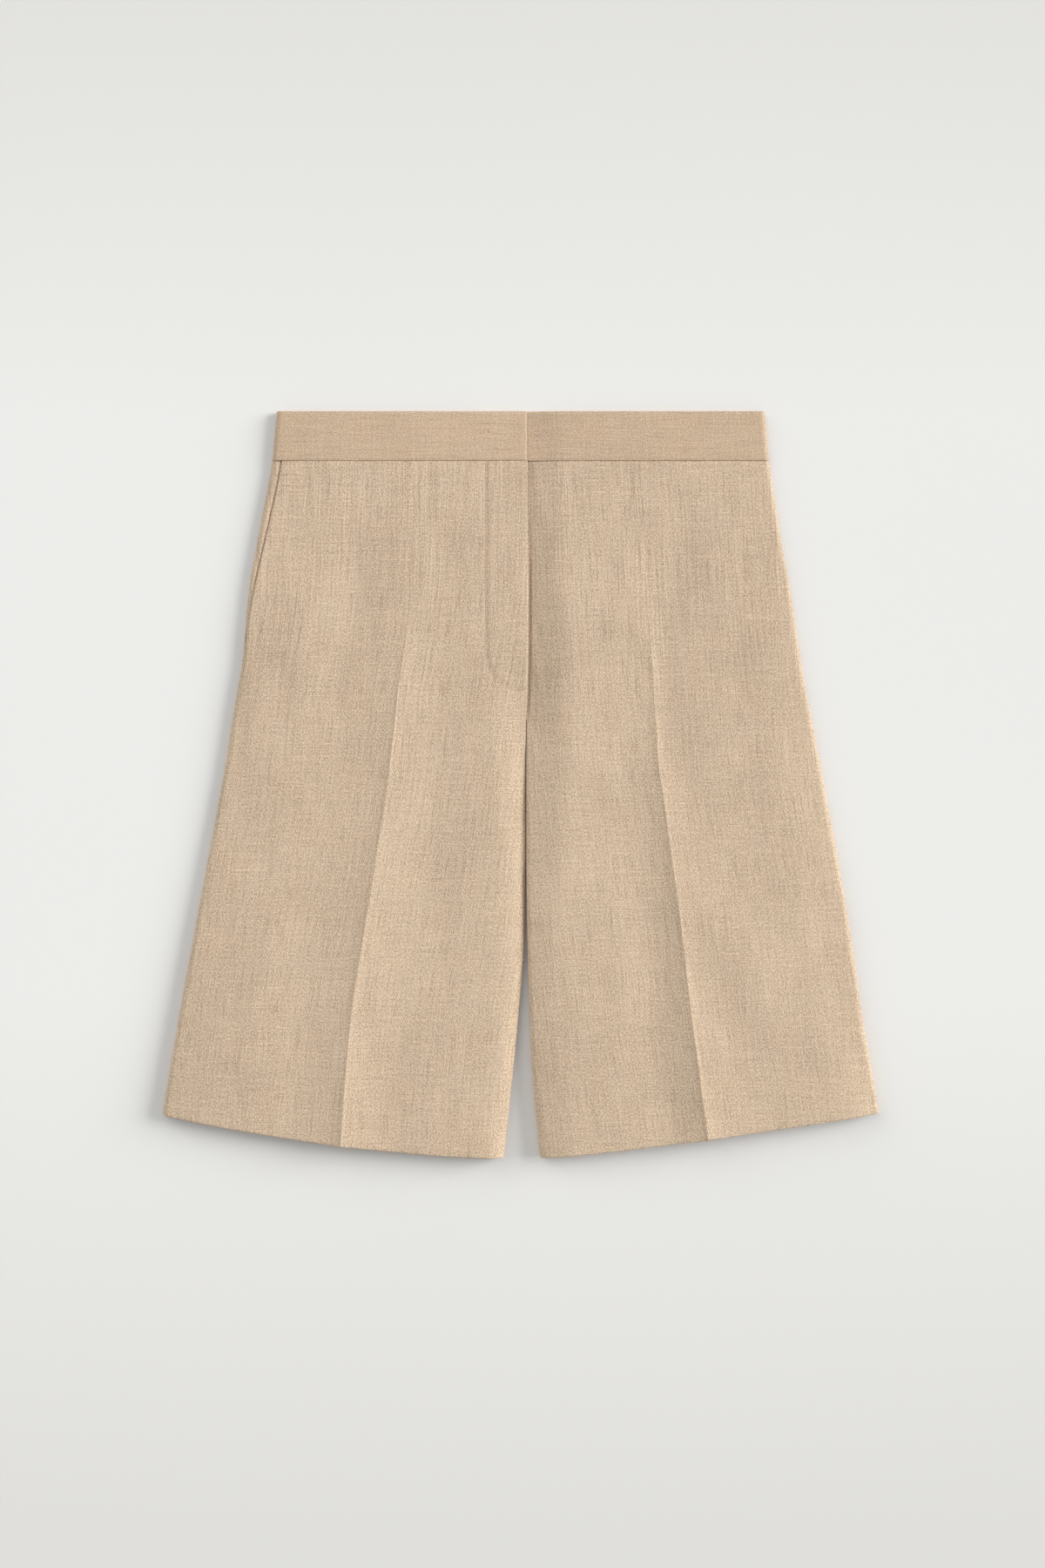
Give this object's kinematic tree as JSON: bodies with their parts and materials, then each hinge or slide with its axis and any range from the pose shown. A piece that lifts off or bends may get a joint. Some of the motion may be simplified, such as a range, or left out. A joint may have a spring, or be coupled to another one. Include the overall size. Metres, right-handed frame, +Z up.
{
  "type": "bermuda shorts",
  "caption": "Knee-length tailored shorts in plain-woven cloth, laid flat, with a waistband, a lapped fly, side pockets, pressed creases and turned-up hems.",
  "frame": {"origin": "on the surface that the shorts lie on, under the middle of their outline", "axes": "+Z up out of the surface, +Y from the hems to the waistband, +X towards the wearer's left"},
  "size_m": [0.5408, 0.5639, 0.0203],
  "materials": {
    "shell_cloth": "matte linen-like plain weave, grain down the leg, sand beige",
    "waistband_cloth": "the same matte weave, doubled and stiffened, slightly darker",
    "pocketing": "plain lighter cotton lining cloth",
    "zip_tape": "matte woven zip tape, matched to the cloth"
  },
  "bodies": {
    "root": {"front_right": "shell_cloth", "front_left": "shell_cloth", "back_right": "shell_cloth", "back_left": "shell_cloth", "waistband_right": "waistband_cloth", "waistband_left": "waistband_cloth", "waistband_back": "waistband_cloth", "fly_facing": "shell_cloth", "fly_shield": "shell_cloth", "fly_zip": "zip_tape", "pocket_side_right": "shell_cloth", "pocket_bag_right": "pocketing", "pocket_bag_left": "pocketing"}
  },
  "joints": []
}
